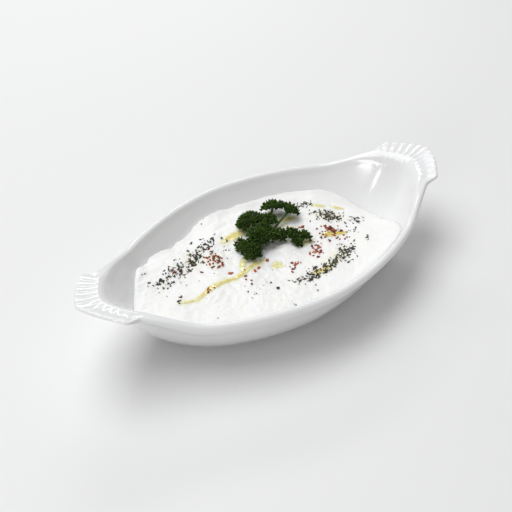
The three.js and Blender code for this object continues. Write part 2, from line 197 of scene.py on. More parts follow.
def closed_faces(ring_count, point_count, flipped=False):
    """The faces of a closed form: rings, then the tips that close its first and its last ring."""
    tip = ring_count * point_count
    sides = rings_to_faces(ring_count, point_count)
    return [
        sides[:, ::-1] if flipped else sides,
        cap_faces(tip, 0, point_count, flipped=not flipped),
        cap_faces(tip + 1, tip - point_count, point_count, flipped=flipped),
    ]


def add_object(name, data):
    obj = bpy.data.objects.new(name, data)
    bpy.context.scene.collection.objects.link(obj)
    return obj


def aim(obj, place, target):
    obj.location = place
    obj.rotation_euler = (Vector(target) - Vector(place)).to_track_quat("-Z", "Y").to_euler()


def mesh_piece(name, points, faces, material, colors=None, smooth=True):
    """Makes a piece from points in millimetres. faces is a list of arrays of corner numbers."""
    mesh = bpy.data.meshes.new(name)
    corners = [face for block in faces for face in block.tolist()]
    mesh.from_pydata(points * MM, [], corners, shade_flat=not smooth)
    if colors is not None:
        layer = mesh.color_attributes.new("tint", "FLOAT_COLOR", "POINT")
        alpha = np.ones((len(colors), 1))
        layer.data.foreach_set("color", np.hstack([colors, alpha]).astype(np.float32).ravel())
    mesh.materials.append(material)
    obj = add_object(name, mesh)
    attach(obj, "root")
    return obj


class Heap:
    """Collects many small closed forms of one kind for one mesh."""

    def __init__(self):
        self.points = []
        self.faces = []
        self.colors = []
        self.total = 0

    def add(self, points, faces, color):
        self.points.append(points)
        self.faces.extend(block + self.total for block in faces)
        self.colors.append(np.broadcast_to(color, points.shape))
        self.total += len(points)

    def piece(self, name, material, slot, smooth=True):
        points = np.concatenate(self.points)
        colors = np.concatenate(self.colors)
        return mesh_piece(name, points, self.faces, material, colors, smooth)


# ---- Materials ----


def principled(name, tinted=True, **inputs):
    """A plain material. A tinted one takes its colour from the mesh."""
    material = bpy.data.materials.new(name)
    material.use_nodes = True
    tree = material.node_tree
    shader = tree.nodes["Principled BSDF"]
    for socket, value in inputs.items():
        shader.inputs[socket.replace("_", " ")].default_value = value
    if tinted:
        layer = tree.nodes.new("ShaderNodeVertexColor")
        layer.layer_name = "tint"
        tree.links.new(layer.outputs["Color"], shader.inputs["Base Color"])
    return material


def add_bump(material, scale, distance, strength, detail=2.0):
    """A fine unevenness of the surface. scale is in lumps per metre and distance in metres."""
    nodes = material.node_tree.nodes
    links = material.node_tree.links
    place = nodes.new("ShaderNodeTexCoord")
    noise = nodes.new("ShaderNodeTexNoise")
    noise.inputs["Scale"].default_value = scale
    noise.inputs["Detail"].default_value = detail
    relief = nodes.new("ShaderNodeBump")
    relief.inputs["Distance"].default_value = distance
    relief.inputs["Strength"].default_value = strength
    links.new(place.outputs["Object"], noise.inputs["Vector"])
    links.new(noise.outputs["Fac"], relief.inputs["Height"])
    links.new(relief.outputs["Normal"], nodes["Principled BSDF"].inputs["Normal"])


def porcelain_material():
    glaze = (0.88, 0.88, 0.885, 1)
    material = principled("porcelain", tinted=False, Base_Color=glaze, Roughness=0.1, IOR=1.5)
    add_bump(material, scale=90, distance=0.0004, strength=0.12, detail=1.0)
    return material


def raita_material():
    inside = dict(Subsurface_Weight=0.35, Subsurface_Scale=0.004, Subsurface_Radius=(1.0, 0.9, 0.75))
    material = principled("raita", Roughness=0.42, IOR=1.36, **inside)
    add_bump(material, scale=420, distance=0.0005, strength=0.35, detail=3.0)
    return material


def flake_material(name, roughness):
    return principled(name, Roughness=roughness, IOR=1.45)


def oil_material():
    return principled("oil", Roughness=0.12, IOR=1.47, Coat_Weight=0.5)


def parsley_material():
    inside = dict(Subsurface_Weight=0.1, Subsurface_Scale=0.001, Subsurface_Radius=(0.5, 1.0, 0.3))
    material = principled("parsley", Roughness=0.6, IOR=1.4, Specular_IOR_Level=0.2, **inside)
    add_bump(material, scale=900, distance=0.0003, strength=0.5)
    return material


# ---- The dish ----

RIB_STEPS = 8  # stations from a rib's crest to the groove beside it
SHOULDER_STEPS = 24
FLARE_STEPS = 20
SIDE_STEPS = 44
CREST_ROUNDING = 0.12  # more makes the grooves between the ribs rounder
SHOULDER_POWER = 0.575  # how far round the rim the ear's shoulder has come on its way down
LAST_GROOVE_END = 0.35  # share of the shoulder over which the last groove dies away
CORNER_SMOOTHING = (12, 10)  # stations to each side that are smoothed, and how many times
NECK_SMOOTHING = (8, 5)


def oval_point(half_length, half_width, angle):
    along = half_length * signed_power(np.cos(angle), OVAL_EXPONENT)
    across = half_width * signed_power(np.sin(angle), OVAL_EXPONENT)
    return np.stack([along, across], axis=-1)


def rim_normal(angle):
    along = signed_power(np.cos(angle), 2 - OVAL_EXPONENT) / RIM_HALF_LENGTH
    across = signed_power(np.sin(angle), 2 - OVAL_EXPONENT) / RIM_HALF_WIDTH
    return unit(np.stack([along, across], axis=-1))


def rim_height(x):
    return RIM_HEIGHT + RIM_RISE * smoothstep(np.abs(x), RISE_START, RISE_END)


def rim_point(angle):
    plan = oval_point(RIM_HALF_LENGTH, RIM_HALF_WIDTH, angle)
    return np.concatenate([plan, rim_height(plan[..., :1])], axis=-1)


def angle_across(y):
    return np.arcsin((y / RIM_HALF_WIDTH) ** (1 / OVAL_EXPONENT))


def ear_edge(share):
    tip = DISH_LENGTH / 2
    x = tip - (tip - EAR_CORNER_X) * share**EAR_BOW_POWER
    height = lerp(EAR_TIP_HEIGHT, EAR_CORNER_HEIGHT, share * share)
    return np.stack([x, EAR_HALF_WIDTH * share, height], axis=-1)


def quarter_stations():
    """From an ear's tip to a side's middle: angle on the rim, ear's edge and rib (-1 groove to 1 crest)."""
    share = np.linspace(0, 1, EAR_RIBS * RIB_STEPS + 1)
    fan_angle = angle_across(EAR_ROOT_HALF_WIDTH * share)
    crests = np.cos(EAR_RIBS * math.pi * share / 2) ** 2
    fan_rib = 2 * np.sqrt(crests + CREST_ROUNDING) - (1 + CREST_ROUNDING)

    neck_angle = angle_across(EAR_NECK_HALF_WIDTH)
    neck = np.array(EAR_NECK_EDGE)
    down_side = np.linspace(0, 1, SHOULDER_STEPS + 1)[1:]
    along = 1 - (1 - down_side) ** SHOULDER_POWER
    shoulder_angle = angle_across(lerp(EAR_ROOT_HALF_WIDTH, EAR_NECK_HALF_WIDTH, along))
    shoulder_edge = lerp(ear_edge(np.array(1.0)), neck, down_side[:, None])
    shoulder_rib = -1 + smoothstep(down_side, 0, LAST_GROOVE_END)

    flare = np.linspace(0, 1, FLARE_STEPS + 1)[1:]
    flare_angle = lerp(neck_angle, angle_across(FLARE_END_HALF_WIDTH), flare)
    flare_edge = rim_point(flare_angle) + (1 - flare[:, None]) ** 2 * (neck - rim_point(neck_angle))

    side_angle = np.linspace(flare_angle[-1], math.pi / 2, SIDE_STEPS + 1)[1:]
    angle = np.concatenate([fan_angle, shoulder_angle, flare_angle, side_angle])
    edge = np.concatenate([ear_edge(share), shoulder_edge, flare_edge, rim_point(side_angle)])
    rib = np.concatenate([fan_rib, shoulder_rib, np.zeros(FLARE_STEPS + SIDE_STEPS)])

    corner_station = len(share) - 1
    neck_station = corner_station + SHOULDER_STEPS
    for station, smoothing in ((corner_station, CORNER_SMOOTHING), (neck_station, NECK_SMOOTHING)):
        reach, rounds = smoothing
        for _ in range(rounds):
            near = slice(station - reach, station + reach)
            before = edge[station - reach - 1 : station + reach - 1]
            after = edge[station - reach + 1 : station + reach + 1]
            edge[near] = (before + 2 * edge[near] + after) / 4
    return angle, edge, rib


def all_stations():
    angle, edge, rib = quarter_stations()
    blocks = []
    for sign_x, sign_y, backwards in ((1, 1, False), (-1, 1, True), (-1, -1, False), (1, -1, True)):
        order = np.arange(len(angle))
        order = order[::-1][:-1] if backwards else order[:-1]
        signs = np.broadcast_to(np.array([sign_x, sign_y, 1.0]), (len(order), 3))
        blocks.append((angle[order], edge[order], rib[order], signs))
    return tuple(np.concatenate(parts) for parts in zip(*blocks))


def wall_point(angle, share, inset, bottom, thickness):
    """A wall at a share of its height, which may differ from angle to angle."""
    share = np.broadcast_to(share, angle.shape)
    base = oval_point(BASE_HALF_LENGTH - inset, BASE_HALF_WIDTH - inset, angle)
    rim = rim_point(angle)
    height = lerp(bottom, rim[:, 2] - LIP_RADIUS, share)
    top = rim[:, :2] - thickness * rim_normal(angle)
    plan = lerp(base, top, (share**WALL_POWER)[:, None])
    return np.column_stack([plan, height])


def outside_point(angle, share):
    return wall_point(angle, share, inset=0, bottom=FOOT_HEIGHT, thickness=0)


def inside_point(angle, share):
    return wall_point(angle, share, inset=FLOOR_INSET, bottom=FLOOR_HEIGHT, thickness=2 * LIP_RADIUS)


# The foot and the plate inside it: distance in from the base's edge, and height.
FOOT_SECTION = ((8, FOOT_HEIGHT), (4.5, FOOT_HEIGHT), (4.2, 0.4), (3.7, 0), (0.9, 0), (0.3, 0.3))
FLOOR_FLAT = (FLOOR_INSET + 3, FLOOR_HEIGHT - 0.1)  # the same for the flat middle of the floor inside
WALL_END = 0.72  # share of the outside wall's height at which it turns to the lip
OUTSIDE_SHARES = np.linspace(0, WALL_END, 18)
INSIDE_SHARES = np.linspace(0.93, 0, 36)

# Round the lip, from outside inwards: degrees, and how far towards the ear's edge.
LIP_TURNS = np.array([-55, -30, 0, 45, 70, 90, 115, 150])
LIP_REACHES = np.array([0.3, 0.8, 1, 1, 0.84, 0.5, 0.16, 0])
PLAIN_LIP_START = -27  # where the lip leaves the wall away from the ears
LIP_TOP = 45  # where the lip's outer side ends and its top begins
LIP_SIDE_SHARES = np.linspace(0, 1, 16)
LIP_TOP_TURNS = np.linspace(48, 150, 40)
LIP_BRIDGE_RINGS = 12  # between the outside wall and the lip
FLOOR_BRIDGE_RINGS = 2  # between the lip and the inside wall
ROLL_START = 23  # the ring of the lip at which the wide bend inside an ear begins
ROLL_END = 4  # the ring of the wall inside at which it has ended

LEFT_EAR_RIBS = 0.45  # how strong the left ear's ribs are, which hardly show under the glaze
RIBS_FADE = (0.16, 0.42)  # shares of the ear's reach between which its ribs begin
SCALLOP_DEPTH = 0.25  # of the ear's edge between the ribs
CROWN_HEIGHT = 0.4
# The low swells across an ear's top: strength, and middle and width as shares of its reach.
CROWN_SWELLS = ((1, 0.27, 0.1), (0.5, 0.95, 0.1), (-1, 0.6, 0.2))


def smooth_through(keys, values, at):
    """A curve through the values that never overshoots them."""
    steps = np.diff(keys)
    slopes = np.diff(values) / steps
    tangents = np.zeros(len(keys))
    same = slopes[:-1] * slopes[1:] > 0
    tangents[1:-1][same] = 2 / (1 / slopes[:-1][same] + 1 / slopes[1:][same])
    tangents[0] = slopes[0]
    tangents[-1] = slopes[-1]
    i = np.clip(np.searchsorted(keys, at) - 1, 0, len(steps) - 1)
    t = (at - keys[i]) / steps[i]
    return curve(t, values[i], steps[i] * tangents[i], values[i + 1], steps[i] * tangents[i + 1])


def ear_weight(angle, edge):
    """0 where the rim is plain to 1 where the ear reaches well beyond it."""
    return smoothstep(np.linalg.norm(edge - rim_point(angle), axis=1), 0, EAR_FULL_REACH)


def lip_radius(turn, weight):
    """The lip's radius, which is smaller at an ear's thin edge."""
    thin = smoothstep(turn, -60, -5) * (1 - smoothstep(turn, 60, 115))
    return lerp(LIP_RADIUS, EAR_EDGE_RADIUS, thin * weight)


def lip_point(angle, edge, rib, turn):
    """Points round the lip. turn holds the degrees round it for each station."""
    rim = rim_point(angle)
    weight = ear_weight(angle, edge)
    reach = smooth_through(LIP_TURNS, LIP_REACHES, turn)
    radius = lip_radius(turn, weight)
    turned = np.radians(turn)
    normal = rim_normal(angle)
    top = turn > LIP_TOP
    ribbed = np.where(top, smoothstep(reach, *RIBS_FADE), smoothstep(turn, -35, LIP_TOP))
    outer = smoothstep(reach, 0.6, 1) * ribbed
    crown = sum(strength * bump(reach, middle, width) for strength, middle, width in CROWN_SWELLS)
    point = rim + reach[:, None] * (edge - rim)
    inwards = radius * (1 - np.cos(turned)) + SCALLOP_DEPTH * (1 - rib) / 2 * outer * weight
    point[:, :2] -= inwards[:, None] * normal
    point[:, 2] -= radius * (1 - np.sin(turned))
    point[:, 2] += np.where(top, CROWN_HEIGHT * crown * weight, 0)
    point[:, 2] += RIB_HEIGHT / 2 * (rib * ribbed - outer) * weight
    return point


def bridge(before, start, end, after, steps):
    """Rings between two that meet both smoothly."""
    length = np.linalg.norm(end - start, axis=1, keepdims=True)
    leave = length * unit(start - before)
    arrive = length * unit(after - end)
    return [curve(t, start, leave, end, arrive) for t in np.linspace(0, 1, steps + 2)[1:-1]]


def rolled_over(rings, weight):
    """Rings from an ear's top to the wall inside, moved to one wide bend where there is an ear."""
    bend = bridge(rings[0], rings[1], rings[-2], rings[-1], len(rings) - 4)
    middle = [lerp(ring, bent, weight[:, None]) for ring, bent in zip(rings[2:-2], bend)]
    return [*rings[:2], *middle, *rings[-2:]]


def make_dish():
    angle, edge, rib, signs = all_stations()

    def flat_ring(inset, height):
        plan = oval_point(BASE_HALF_LENGTH - inset, BASE_HALF_WIDTH - inset, angle)
        return np.column_stack([plan, np.full(len(angle), height)])

    rib = rib * np.where(signs[:, 0] < 0, LEFT_EAR_RIBS, 1)
    weight = ear_weight(angle, edge)
    lip_start = lerp(PLAIN_LIP_START, LIP_TURNS[0], weight)
    outside = [outside_point(angle, share) for share in OUTSIDE_SHARES]
    lip = [lip_point(angle, edge, rib, lerp(lip_start, LIP_TOP, share)) for share in LIP_SIDE_SHARES]
    lip_top = [lip_point(angle, edge, rib, np.full(len(angle), turn)) for turn in LIP_TOP_TURNS]
    inside = [inside_point(angle, share) for share in INSIDE_SHARES]
    to_inside = bridge(lip_top[-2], lip_top[-1], inside[0], inside[1], FLOOR_BRIDGE_RINGS)
    rings = [
        *[flat_ring(inset, height) for inset, height in FOOT_SECTION],
        *outside,
        *bridge(outside[-2], outside[-1], lip[0], lip[1], LIP_BRIDGE_RINGS),
        *lip,
        *lip_top[:ROLL_START],
        *rolled_over([*lip_top[ROLL_START:], *to_inside, *inside[:ROLL_END]], weight),
        *inside[ROLL_END:],
        flat_ring(*FLOOR_FLAT),
    ]
    tips = [[0, 0, FOOT_HEIGHT], [0, 0, FLOOR_FLAT[1]]]
    points = np.vstack([*[ring * signs for ring in rings], *tips])
    faces = closed_faces(len(rings), len(angle))
    dish = mesh_piece("porcelain_dish", points, faces, porcelain_material())
    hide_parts("dish")


# ---- The raita's surface ----

# How much higher or lower than RAITA_EDGE the raita meets the dish: direction, spread (degrees), height.
EDGE_SWELLS = (
    (-30, 18, 8.0),
    (1, 15.5, -9.5),
    (102, 12, 1.5),
    (130, 14, -2.3),
    (158, 9, 3.2),
)
RAGGED_DIRECTION = 150  # degrees; the raita's edge is the most uneven about here
RAGGED_SPREAD = 55
RAGGED_LEAST = 0.25  # share of that unevenness elsewhere
RIPPLE_WIDTH = 6.0  # how far in from the dish the edge's unevenness dies away

# Low folds left by the spoon: length, direction in degrees, height and phase of each.
SURFACE_WAVES = (
    (47, 24, 0.55, 0.4),
    (31, 97, 0.4, 2.1),
    (23, 151, 0.32, 4.4),
    (17, 63, 0.22, 1.2),
)
ROLL_WIDTH = 3.4  # how far in from the dish the raita's rounded edge begins
OUTLINE_POINTS = 540
SURFACE_RINGS = 120
RING_POWER = 0.8  # less than 1 puts the rings closer together near the dish
SIDE_SHARES = np.linspace(0, 1, 8)
EDGE_TUCK = 0.3  # how far the side begins under the edge


def near_direction(middle, spread, direction):
    """1 at a direction, to 0 well beyond the spread on both its sides. These two are in degrees."""
    away = direction - math.radians(middle)
    return bump(np.degrees(np.arctan2(np.sin(away), np.cos(away))), 0, spread)


def edge_height(direction):
    height = np.full(np.shape(direction), RAITA_EDGE)
    for middle, spread, rise in EDGE_SWELLS:
        height = height + rise * near_direction(middle, spread, direction)
    return height


def beside_wall(angle, height, gap):
    """The point of the inside wall at a height, moved in by a gap."""
    rim = rim_point(angle)
    share = (height - FLOOR_HEIGHT) / (rim[:, 2] - LIP_RADIUS - FLOOR_HEIGHT)
    point = inside_point(angle, np.clip(share, 0, 1))
    point[:, :2] -= gap * rim_normal(angle)
    return point


def even_angles(count):
    """Angles of the oval that are evenly spaced along its outline."""
    fine = np.linspace(0, 2 * math.pi, 40 * count)
    outline = oval_point(RIM_HALF_LENGTH, RIM_HALF_WIDTH, fine)
    run = np.concatenate([[0], np.cumsum(np.linalg.norm(np.diff(outline, axis=0), axis=1))])
    return np.interp(np.arange(count) * run[-1] / count, run, fine)


OUTLINE_ANGLES = even_angles(OUTLINE_POINTS)
yogurt_noise = Noise(11)
lump_noise = Noise(12)
tint_noise = Noise(13)


def far_side(direction):
    """1 along the dish's far side, where the raita ends in a thick edge, to 0 along the near side."""
    return smoothstep(np.sin(direction), 0.1, 0.45)


def edge_rounding(direction):
    return lerp(EDGE_THINNED, EDGE_ROUNDING, far_side(direction))


def outline_ripples(wall, direction):
    """The small unevenness of the height at which the raita meets the dish."""
    x, y, _ = wall.T
    ragged = lerp(RAGGED_LEAST, 1, near_direction(RAGGED_DIRECTION, RAGGED_SPREAD, direction))
    return far_side(direction) * ragged * (1.7 * lump_noise(x, y, 10) + 0.9 * yogurt_noise(x, y, 4.5))


OUTLINE_WALL = inside_point(OUTLINE_ANGLES, 0.7)
WALL_DIRECTIONS = np.arctan2(OUTLINE_WALL[:, 1], OUTLINE_WALL[:, 0])
OUTLINE_RIPPLES = outline_ripples(OUTLINE_WALL, WALL_DIRECTIONS)
OUTLINE = beside_wall(OUTLINE_ANGLES, edge_height(WALL_DIRECTIONS) + OUTLINE_RIPPLES, gap=-0.05)
OUTLINE_DIRECTIONS = np.unwrap(np.arctan2(OUTLINE[:, 1], OUTLINE[:, 0]))
OUTLINE_DISTANCES = np.hypot(OUTLINE[:, 0], OUTLINE[:, 1])


def outline_value(direction, values):
    direction = np.mod(direction - OUTLINE_DIRECTIONS[0], 2 * math.pi) + OUTLINE_DIRECTIONS[0]
    keys = np.append(OUTLINE_DIRECTIONS, OUTLINE_DIRECTIONS[0] + 2 * math.pi)
    return np.interp(direction, keys, np.append(values, values[0]))


def fine_relief(x, y):
    """Lumps and spoon marks of thick yogurt."""
    along = 0.92 * x + 0.38 * y
    across = -0.38 * x + 0.92 * y
    folds = yogurt_noise(along / 2.2, across, 9)
    lumps = 1 - 2 * np.abs(lump_noise(x, y, 6.5))
    crumbs = 1 - 2 * np.abs(yogurt_noise(x + 31, y - 17, 3.3))
    grit = lump_noise(x - 11, y + 7, 1.6)
    rough = 0.6 + 0.4 * smoothstep(0.4 * y - x, -70, 10)
    return (0.36 * folds + 0.3 * lumps + 0.18 * crumbs + 0.07 * grit) * rough


def surface_height(x, y):
    """The height of the raita's surface, for arrays or single numbers."""
    direction = np.arctan2(y, x)
    distance = np.hypot(x, y)
    outline = outline_value(direction, OUTLINE_DISTANCES)
    share = np.clip(distance / outline, 0, 1)
    from_edge = np.clip(outline - distance, 0, None)
    waves = 0
    for length, towards, height, phase in SURFACE_WAVES:
        along = x * math.cos(math.radians(towards)) + y * math.sin(math.radians(towards))
        waves = waves + height * np.sin(2 * math.pi * along / length + phase)
    waves = waves * (1 - share**8) + fine_relief(x, y) * smoothstep(from_edge, 0, ROLL_WIDTH)
    rounding = edge_rounding(direction)
    ripple = outline_value(direction, OUTLINE_RIPPLES) * (1 - smoothstep(from_edge, 0, RIPPLE_WIDTH))
    rolled = rounding * np.sqrt(1 - (1 - np.clip(from_edge / ROLL_WIDTH, 0, 1)) ** 2)
    level = lerp(RAITA_LEVEL, edge_height(direction) + rounding, share**4)
    return level + ripple + waves - (rounding - rolled)


def surface_normal(x, y):
    step = 0.6
    slope_x = (surface_height(x + step, y) - surface_height(x - step, y)) / (2 * step)
    slope_y = (surface_height(x, y + step) - surface_height(x, y - step)) / (2 * step)
    return unit(np.array([-slope_x, -slope_y, 1.0]))


def on_surface(x, y, lift=0):
    """Points on the raita, or at a height above it."""
    return np.stack([x, y, surface_height(x, y) + lift], axis=-1)


# ---- Oil: soft stains in the raita, with painted shade under the parsley, and thin pools on it ----

# The streams of oil: points along each, half width, and how golden (0 pale to 1).
STREAMS = (
    (
        ((-12, -2), (-21, -6), (-30, -7.7), (-37.5, -6.5), (-44.5, -6.7), (-51.5, -7.8), (-57, -9)),
        1.35,
        0.75,
    ),
    (((-54, -8.3), (-57.5, -9), (-62, -8), (-66.5, -6)), 0.9, 0.4),
    (((-16, -5), (-12, -4.6), (-8.5, -3.3)), 1.1, 0.6),
)

# The oil stains, and the painted shade under the parsley: x, y, half length, half width, turn in degrees,
# strength.
OIL_STAINS_AND_SHADE = (
    (-9.5, 24, 10, 5, -5, 0.9),
    (-20, -1, 9, 4, 50, 0.9),
    (-4.5, -11.5, 5, 4, -37, 0.7),
    (-48, -7, 7, 3, 0, 0.6),
    (-66, -6, 4, 4, 0, 0.4),
    # Partly an oil stain and partly painted shade: the parsley's shadow, painted yellowish on the raita
    # under its right side.
    (20, 8, 9, 14, 10, 0.5),
    (22, -5.5, 7, 4, 10, 0.8),
    (28, 19, 8, 3.5, -9, 0.7),
    (51, 18.5, 6, 3, -37, 0.55),
    (62, 12, 5.5, 3, -37, 0.8),
    (41, -8, 9, 3.5, -21, 0.9),
    (12, -31, 7, 3.5, -8, 0.8),
    (-41, 20, 13, 8, 53, 0.2),
    (-31, 13, 9, 7, 53, 0.2),
    (24, -28, 18, 6, 17, 0.3),
    (50, 7, 13, 8, -37, 0.25),
)
RAITA_COLOR = np.array([0.93, 0.925, 0.905])
STAIN_AND_SHADE_COLOR = RAITA_COLOR * np.array([0.89, 0.85, 0.36])
STREAM_STAIN_WIDTH = 2.3  # how much wider than its stream a stain is
STAIN_AND_SHADE_DEPTH = 0.75


def in_oval(x, y, oval):
    """0 at an oval's middle, 1 at its edge."""
    cx, cy, half_length, half_width, turn = oval[:5]
    along, across = turned_place(0, 0, x - cx, y - cy, -turn)
    return np.hypot(along / half_length, across / half_width)


def from_path(x, y, path):
    """The distance from a path in plan."""
    nearest = np.full(np.shape(x), np.inf)
    for (x0, y0), (x1, y1) in zip(path[:-1], path[1:]):
        run_x = x1 - x0
        run_y = y1 - y0
        share = np.clip(((x - x0) * run_x + (y - y0) * run_y) / (run_x**2 + run_y**2), 0, 1)
        nearest = np.minimum(nearest, np.hypot(x - x0 - share * run_x, y - y0 - share * run_y))
    return nearest


# The raita's own colour with its oil stains, and with painted shade under the parsley's right side.
def raita_color(x, y):
    stain_and_shade = np.zeros(np.shape(x))
    ragged = 0.3 * tint_noise(x, y, 5) + 0.2 * tint_noise(x + 40, y, 2.4)
    for path, half_width, gold in STREAMS:
        reach = from_path(x, y, path) / (STREAM_STAIN_WIDTH * half_width) + ragged
        stain_and_shade = np.maximum(stain_and_shade, (0.4 + 0.5 * gold) * (1 - smoothstep(reach, 0.3, 1.15)))
    for oval in OIL_STAINS_AND_SHADE:
        reach = in_oval(x, y, oval) + ragged
        stain_and_shade = np.maximum(stain_and_shade, oval[5] * (1 - smoothstep(reach, 0.35, 1.15)))
    return mix(RAITA_COLOR, STAIN_AND_SHADE_COLOR, STAIN_AND_SHADE_DEPTH * stain_and_shade[..., None])


def make_raita():
    shares = np.linspace(0, 1, SURFACE_RINGS + 1)[1:] ** RING_POWER
    rings = [on_surface(*(OUTLINE[:, :2] * share).T) for share in shares]
    rings[-1][:, 2] = OUTLINE[:, 2]
    edge = OUTLINE[:, 2] - EDGE_TUCK
    side = [beside_wall(OUTLINE_ANGLES, lerp(edge, FLOOR_HEIGHT, share), GAP) for share in SIDE_SHARES]
    for ring in side:
        ring[:, 2] += GAP
    side[0][:, 2] -= 2 * EDGE_TUCK
    rings += side
    points = np.vstack([*rings, on_surface(0, 0), [0, 0, FLOOR_HEIGHT + GAP]])
    faces = closed_faces(len(rings), OUTLINE_POINTS, flipped=True)
    colors = raita_color(points[:, 0], points[:, 1])
    raita = mesh_piece("yogurt", points, faces, raita_material(), colors)
    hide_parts("raita")


# The pools: x, y, half length, half width, turn in degrees, how golden (0 pale to 1).
POOLS = (
    (-9.5, 24, 7.3, 3.2, -5, 0.75),
    (-20.8, 0, 6.5, 2.0, 58, 0.2),
    (-4.3, -11.7, 4.0, 2.6, -37, 0.25),
    (-47, -6.8, 5.2, 2.1, 2, 0.8),
    (51.3, 18.7, 4.2, 1.4, -37, 0.15),
    (61.9, 12.1, 4.0, 1.8, -37, 0.55),
    (28, 19.3, 6.0, 1.8, -9, 0.5),
    (21.7, -5.6, 3.8, 2.2, 10, 0.6),
    (38, -6.8, 4.2, 2.4, -21, 1.0),
    (44.5, -9.2, 4.2, 2.4, -21, 1.0),
    (12.2, -31.3, 4.7, 2.3, -8, 0.8),
)
STREAM_STEPS = 48
STREAM_SIDES = 14
STREAM_SMOOTHING = 12  # rounds
STREAM_UNEVENNESS = 0.55  # of its width
POOL_RINGS = 7
POOL_POINTS = 44
POOL_DEPTH = 0.3
POOL_UNEVENNESS = 0.34  # of its outline
OIL_LIFT = 0.03
OIL_PALE = np.array([0.82, 0.79, 0.38])
OIL_GOLDEN = np.array([0.70, 0.55, 0.10])
OIL_THIN = RAITA_COLOR * np.array([1, 0.98, 0.84])


def oil_color(x, y, gold, reach):
    """The oil's colour from its middle (reach 0) to its edge, where the raita shows through."""
    deep = np.clip(gold * (1 - reach**3) + 0.3 * tint_noise(x * 1.3, y * 1.3, 3.5), 0, 1)[:, None]
    thin = np.broadcast_to(reach**4 * 0.75, np.shape(x))[:, None]
    return mix(mix(OIL_PALE, OIL_GOLDEN, deep), OIL_THIN, thin)


def add_stream(heap, path, half_width, gold):
    """A thin stream of oil along a path, with a low rounded section."""
    share = np.linspace(0, len(path) - 1, STREAM_STEPS)
    plan = np.column_stack([np.interp(share, np.arange(len(path)), axis) for axis in np.transpose(path)])
    for _ in range(STREAM_SMOOTHING):
        plan[1:-1] = (plan[:-2] + 2 * plan[1:-1] + plan[2:]) / 4
    ahead = unit(np.gradient(plan, axis=0))
    ends = np.sqrt(1 - np.linspace(-1, 1, STREAM_STEPS) ** 6 * 0.98)
    widths = half_width * ends * (1 + STREAM_UNEVENNESS * lump_noise(plan[:, 0] + 9, plan[:, 1], 7))
    turn = angles_round(STREAM_SIDES)
    rings = []
    shades = []
    for (x, y), (ahead_x, ahead_y), width in zip(plan, ahead, widths):
        px = x + ahead_y * width * np.cos(turn)
        py = y - ahead_x * width * np.cos(turn)
        rings.append(on_surface(px, py, POOL_DEPTH * np.sin(turn) + OIL_LIFT))
        shades.append(oil_color(px, py, gold, np.abs(np.cos(turn))))
    points = np.vstack([*rings, rings[0].mean(axis=0), rings[-1].mean(axis=0)])
    colors = np.vstack([*shades, shades[0][:1], shades[-1][:1]])
    heap.add(points, closed_faces(STREAM_STEPS, STREAM_SIDES, flipped=True), colors)


def make_oil():
    heap = Heap()
    draw = np.random.default_rng(5)
    for path, half_width, gold in STREAMS:
        add_stream(heap, path, half_width, gold)
    turn = angles_round(POOL_POINTS)
    for x, y, half_length, half_width, tilt, gold in POOLS:
        outline = np.ones(POOL_POINTS)
        for waves in range(2, 8):
            wave = draw.normal(0, POOL_UNEVENNESS / waves)
            outline += wave * np.sin(waves * turn + draw.uniform(0, 2 * math.pi))
        rings = []
        shades = []
        for share in np.linspace(1, 0, POOL_RINGS, endpoint=False):
            along = half_length * share * outline * np.cos(turn)
            across = half_width * share * outline * np.sin(turn)
            px, py = turned_place(x, y, along, across, tilt)
            rings.append(on_surface(px, py, POOL_DEPTH * math.sqrt(1 - share * share) + OIL_LIFT))
            shades.append(oil_color(px, py, gold, share))
        under = rings[0] - np.array([0, 0, POOL_DEPTH])
        tips = [on_surface(x, y, -POOL_DEPTH), on_surface(x, y, POOL_DEPTH)]
        colors = np.vstack([shades[0], *shades, shades[0][:1], shades[-1][:1]])
        heap.add(np.vstack([under, *rings, *tips]), closed_faces(POOL_RINGS + 1, POOL_POINTS), colors)
    heap.piece("oil_pools", oil_material(), "raita")


# ---- Flakes ----

# The parsley's leaves: x, y, rise, radius, lean and the direction of it in degrees, and whether a stem
# shows. The flakes keep clear of them.
LEAVES = (
    (1.6, 25.6, 6.6, 8.8, 24, 140, True),
    (23.2, 28.2, 7.2, 8.0, 22, 70, True),
    (30.8, 20.8, 6.2, 6.4, 22, 10, True),
    (11.2, 19.0, 7.4, 7.6, 8, 60, False),
    (-0.8, 8.6, 9.2, 9.6, 10, 220, False),
    (-11.8, 2.8, 4.6, 6.6, 22, 215, True),
    (-11.4, 12.0, 3.2, 5.8, 8, 165, True),
    (8.8, 4.6, 5.6, 5.8, 14, 300, False),
    (16.2, 0.6, 4.8, 5.4, 14, 300, True),
    (22.6, -3.6, 4.2, 4.6, 18, 320, False),
    (15.6, -5.0, 2.2, 3.8, 10, 280, False),
)

# The largest flakes of each kind, which the solid has too: x, y and length.
SINGLE_FLAKES = {
    "chilli": (
        (-30.5, -2, 3.4), (-6.5, -5, 3), (-18.5, -9, 2.8), (-15, -8, 2.6),
        (-32.5, 6.5, 2.6), (-35.5, 11.5, 2.8), (-49, -6.5, 2.8), (30, 7.5, 3),
        (43.5, -6.5, 3.2), (17, -15, 3), (34.5, -12, 2.6), (-43, 8.5, 2.6),
        (-29.5, 16, 2.6),
    ),
    "pepper": ((-17, -28.5, 3.2),),
    "herb": ((39, -27.5, 3.6), (-32, 36, 2.8), (-30, 26, 3), (-43.5, 20, 3)),
}

